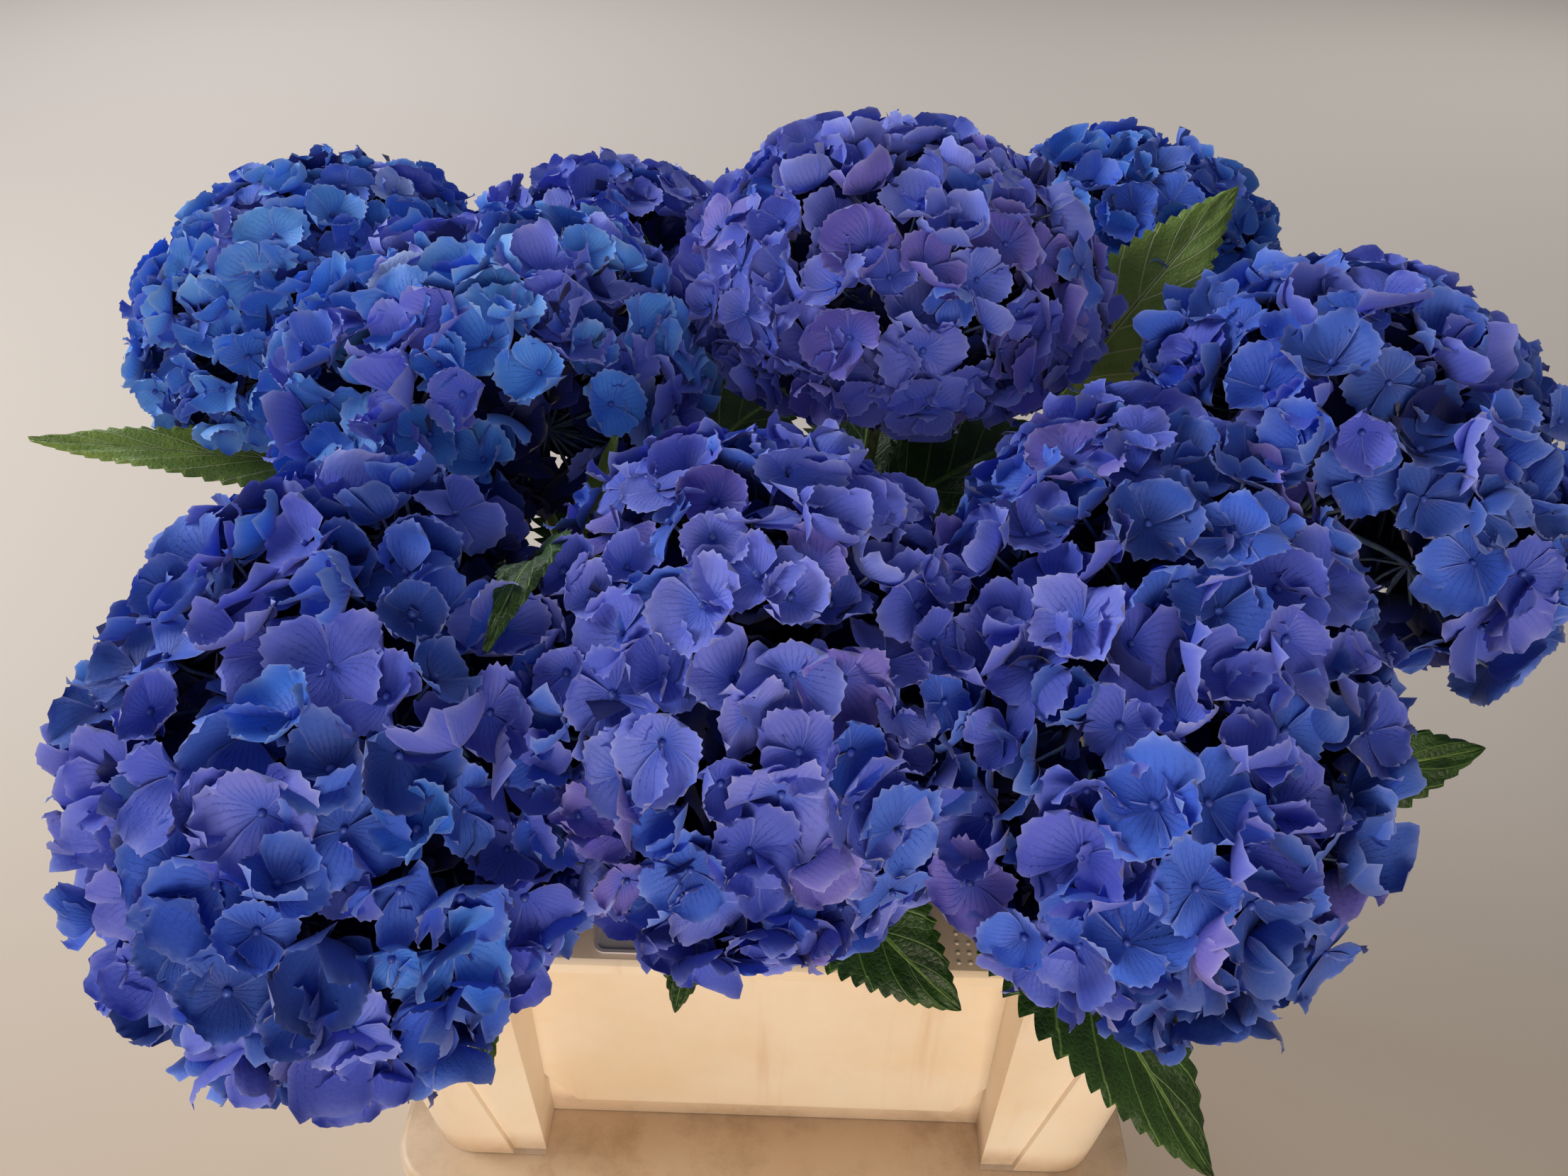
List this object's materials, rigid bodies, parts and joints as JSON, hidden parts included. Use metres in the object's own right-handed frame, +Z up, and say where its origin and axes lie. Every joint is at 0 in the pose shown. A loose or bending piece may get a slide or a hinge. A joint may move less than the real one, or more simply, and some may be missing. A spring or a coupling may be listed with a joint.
{
  "type": "cut mophead hydrangea stems in a plastic flower bucket",
  "caption": "Cut hydrangea stems with round blue-violet mophead blooms and toothed leaves, standing close together in a cream plastic flower bucket.",
  "frame": {"origin": "centre of the bucket's flat underside", "axes": "+Z up, -Y towards the bucket's label side, +X to the right seen from that side"},
  "size_m": [0.7169, 0.5969, 0.6395],
  "materials": {
    "cream_plastic": "moulded, satin, stained and scuffed from use",
    "label_card": "bare coated pad, satin",
    "stalk": "green stem bark, slightly glossy",
    "leaf": "dark green toothed leaf with paler veins, satin",
    "petal": "blue to violet sepals with fine veins, soft satin"
  },
  "bodies": {
    "root": {"bucket_tub": "cream_plastic", "bucket_collar": "cream_plastic", "label_plate": "label_card", "stem_front_left": "stalk", "stem_front_middle": "stalk", "stem_front_right": "stalk", "stem_right": "stalk", "stem_middle": "stalk", "stem_left": "stalk", "stem_far_left": "stalk", "stem_back_left": "stalk", "stem_back_right": "stalk", "leaf_far_left": "leaf", "leaf_far_left_back": "leaf", "leaf_left": "leaf", "leaf_front_left_up": "leaf", "leaf_front_left_top": "leaf", "leaf_front_left_low": "leaf", "leaf_front_left_side": "leaf", "leaf_front_middle_left": "leaf", "leaf_front_middle_right": "leaf", "leaf_front_right_low": "leaf", "leaf_front_right_side": "leaf", "leaf_right": "leaf", "leaf_middle_front": "leaf", "leaf_middle_back": "leaf", "leaf_back_left_up": "leaf", "leaf_back_left": "leaf", "leaf_back_right_up": "leaf", "leaf_back_right": "leaf", "leaf_middle_right": "leaf", "leaf_back_left_in": "leaf", "leaf_back_right_side": "leaf", "leaf_front_right_in": "leaf", "leaf_left_back": "leaf", "bloom_front_left": "petal", "bloom_front_middle": "petal", "bloom_front_right": "petal", "bloom_right": "petal", "bloom_middle": "petal", "bloom_left": "petal", "bloom_far_left": "petal", "bloom_back_left": "petal", "bloom_back_right": "petal"}
  },
  "joints": []
}
